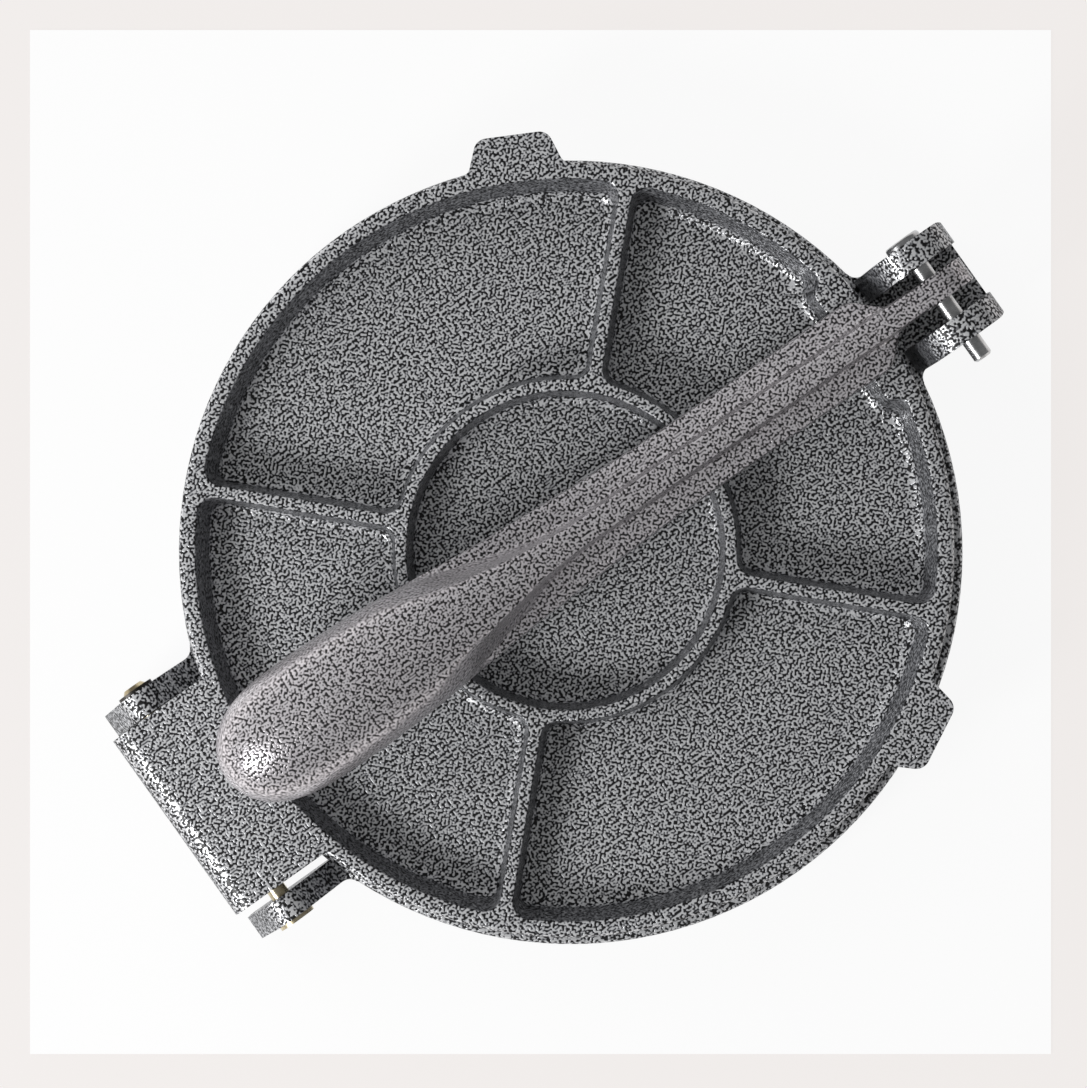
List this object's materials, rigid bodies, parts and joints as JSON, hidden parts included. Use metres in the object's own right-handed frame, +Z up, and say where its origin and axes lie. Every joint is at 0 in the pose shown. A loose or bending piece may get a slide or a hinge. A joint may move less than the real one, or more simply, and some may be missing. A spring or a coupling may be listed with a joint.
{
  "type": "tortilla press",
  "caption": "Lever press for flatbread: two hinged round cast plates with ribs, closed by a long folding handle with a round grip.",
  "frame": {"origin": "centre of the base plate's round, on the surface it stands on", "axes": "+X from the hinge to the handle's clevis, +Y across along the pins, +Z up"},
  "size_m": [0.2592, 0.2106, 0.0649],
  "materials": {
    "paint_plates": "silver vein paint with fine black veins over cast iron, half gloss",
    "paint_handle": "silver vein paint with coarser black veins over cast iron, half gloss",
    "zinc_yellow": "yellowish zinc plated steel",
    "dark_steel": "dark plated steel",
    "zinc_bright": "bright zinc plated steel"
  },
  "bodies": {
    "base": {"base_plate": "paint_plates", "hinge_pin": "zinc_yellow", "hinge_washer": "dark_steel", "handle_pin": "zinc_bright"},
    "plate": {"upper_plate": "paint_plates"},
    "handle": {"handle": "paint_handle"}
  },
  "joints": [
    {"name": "handle_swing", "type": "hinge", "parent": "base", "child": "handle", "pos_m": [0.1188, 0, 0.032], "axis": [0, 1, 0], "range_deg": [0, 178]},
    {"name": "plate_lift", "type": "hinge", "parent": "base", "child": "plate", "pos_m": [-0.1156, 0, 0.0206], "axis": [0, -1, 0], "range_deg": [0, 100]}
  ],
  "couplings": [
    {"joint": "plate_lift", "follows": "handle_swing", "ratio": 0.08}
  ]
}
